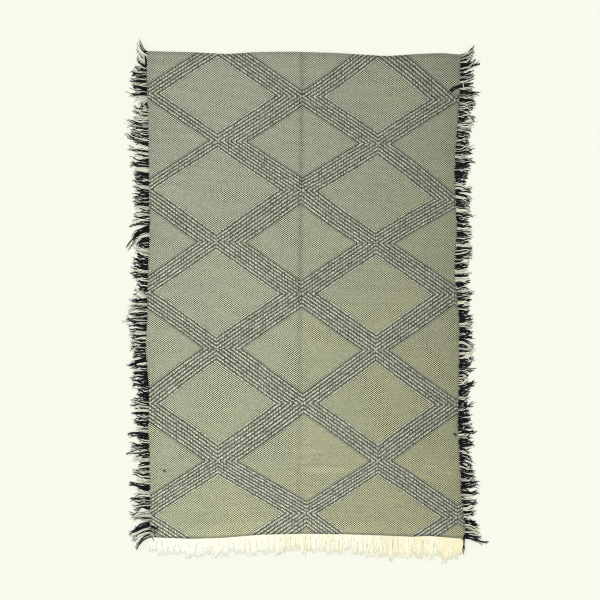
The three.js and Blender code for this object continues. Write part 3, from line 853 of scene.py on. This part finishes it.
# A side fringe: the yarns of its locks, and after them the loose ones.
def sideFringe(name, key, u, outward, seed):
    rng = np.random.default_rng(seed)
    own, (sway, phase, shade) = lockYarns(rng, key)
    stray = strayYarns(rng, key)
    count, more = len(own[0]), len(stray[0])
    at, start, reach, sweep, radius, layer, curl, tone = (np.concatenate(both) for both in zip(own, stray))
    base = np.concatenate([np.zeros(count), np.full(more, yarns["over"])])
    rootX, rootY = clothPlan(np.full(len(at), float(u)), np.clip(at, 0, plan["length"]) / plan["length"])
    waves = np.concatenate([0.6 + 0.9 * sway, rng.uniform(0.5, 1.5, more)])
    phase = np.concatenate([phase + rng.uniform(0, 0.15, count), rng.uniform(0, 1, more)])
    lock = (start, reach, sweep, radius, layer, base, curl, waves, phase)
    lines = yarnLines(rootX, rootY, outward, (0, -1), lock, yarns["segments"])
    shade = np.concatenate([0.7 * shade + 0.3 * rng.uniform(0, 1, count), rng.uniform(0, 1, more)])
    values = {"tone": tone, "warm": rng.uniform(0, 1, len(at)) ** 4, "shade": shade - 0.5}
    return addYarns(name, lines, radius, values, weftEnds)


weftEnds = yarnMaterial("weftEnds", sideWool)
fringeLeft = sideFringe("fringeLeft", "left", 0, (-1, 0), 11)
fringeRight = sideFringe("fringeRight", "right", 1, (1, 0), 12)
print("side fringes made")

# Bottom fringe: the warp ends, in soft tufts. `tips` is how far it reaches and `warm` how yellow it is,
# both along the edge from the left.
warpEnds = {
    "count": 1700,
    "radius": 1.6,
    "radiusSpread": (0.75, 1.2),
    "curlSpread": (1, 4),
    "waveSpread": (0.5, 1.6),
    "tuck": 1.0,
    "tuft": 26.0,
    "gather": 0.5,
    "tips": [(0, 78), (120, 86), (260, 90), (420, 88), (560, 100), (700, 88), (820, 94), (960, 94),
             (1080, 110), (1180, 112), (1235, 120), (1270, 92), (1320, 124), (1375, 96), (1410, 118),
             (1487, 92)],
    "warm": [(0, .15), (560, .2), (640, .6), (740, .5), (790, .25), (830, .6), (900, .55), (960, .35),
             (1120, .75), (1200, .6), (1290, .85), (1340, .5), (1400, .95), (1487, 1)],
}


# Yarns belong to the nearest tuft, whose length differs from its neighbours' by the product of two
# sines, and close in on it. Two slow sines along the edge sweep them aside, and chance a little more.
def bottomFringe(seed):
    rng = np.random.default_rng(seed)
    count = warpEnds["count"]
    at = (np.arange(count) + 0.5 + rng.uniform(-0.5, 0.5, count)) / count * plan["width"]
    rootX, rootY = clothPlan(at / plan["width"], np.ones(count))
    tuft = np.round(at / warpEnds["tuft"] + 0.3 * np.sin(at / 57))
    longer = 0.9 + 0.16 * np.sin(tuft * 2.4) * np.sin(tuft * 5.1)
    reach = lookUp(warpEnds["tips"], at) * longer * (0.58 + 0.52 * rng.uniform(0, 1, count) ** 0.6)
    sweep = 9 * np.sin(at / 61) * np.sin(at / 190) + (tuft * warpEnds["tuft"] - at) * warpEnds["gather"]
    sweep = sweep + rng.normal(0, 8, count)
    radius = warpEnds["radius"] * rng.uniform(*warpEnds["radiusSpread"], count)
    start, base = np.full(count, -warpEnds["tuck"]), np.zeros(count)
    layer = rng.uniform(0, 0.3, count)
    curl = rng.uniform(*warpEnds["curlSpread"], count)
    waves = rng.uniform(*warpEnds["waveSpread"], count)
    phase = rng.uniform(0, 1, count)
    lock = (start, reach, sweep, radius, layer, base, curl, waves, phase)
    lines = yarnLines(rootX, rootY, (0, -1), (1, 0), lock, yarns["segments"])
    warm = np.clip(lookUp(warpEnds["warm"], at) + rng.normal(0, 0.2, count), 0, 1)
    values = {"tone": np.zeros(count), "warm": warm, "shade": rng.uniform(-0.5, 0.5, count)}
    return addYarns("fringeBottom", lines, radius, values, yarnMaterial("warpEnds", warpWool))


fringeBottom = bottomFringe(13)
print("bottom fringe made")

pieces = [
    (rugField, "rug_field", "field"),
    (fringeLeft, "fringe_left", "weft_ends"),
    (fringeRight, "fringe_right", "weft_ends"),
    (fringeBottom, "fringe_bottom", "warp_ends"),
]
for piece, node, slot in pieces:
    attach(piece, "root")
    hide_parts(node)

# Floor and light: a pale floor under an even sky, with one soft light from high up on the left. The
# floor lies `below` the rug, so that the two don't touch.
studio = {
    "floor": (0.725, 0.738, 0.648, 1),
    "half": 30000.0,
    "below": 0.2,
    "sky": (1, 1, 1, 1),
    "skyStrength": 0.85,
    "lamp": 1.6,
    "lampAngle": 0.9,
    "lampAt": (-1.5, 1.5, 4),
    "lampTurn": (-0.35, -0.35, 0),
}


# The floor is one square, and the lamp a sun whose angle makes its shadows soft.
def addStudio():
    half, low = studio["half"] * mm, -studio["below"] * mm
    corners = [(-half, -half, low), (half, -half, low), (half, half, low), (-half, half, low)]
    mesh = bpy.data.meshes.new("floor")
    mesh.from_pydata(corners, [], [(0, 1, 2, 3)])
    constants = {"Specular IOR Level": 0.1, "Roughness": 0.95, "Base Color": studio["floor"]}
    paper = Material("paleFloor", constants)
    mesh.materials.append(paper.data)
    floor = bpy.data.objects.new("floor", mesh)
    bpy.context.collection.objects.link(floor)

    world = bpy.data.worlds.new("studio")
    world.use_nodes = True
    sky = world.node_tree.nodes["Background"]
    sky.inputs["Color"].default_value = studio["sky"]
    sky.inputs["Strength"].default_value = studio["skyStrength"]
    bpy.context.scene.world = world

    lamp = bpy.data.lights.new("lamp", "SUN")
    lamp.angle = studio["lampAngle"]
    lamp.energy = studio["lamp"]
    lampObject = bpy.data.objects.new("lamp", lamp)
    lampObject.location = studio["lampAt"]
    lampObject.rotation_euler = studio["lampTurn"]
    bpy.context.collection.objects.link(lampObject)


addStudio()
scene = bpy.context.scene
scene.view_settings.view_transform = "Standard"
scene.cycles.filter_width = 1.1
print("floor and light set")
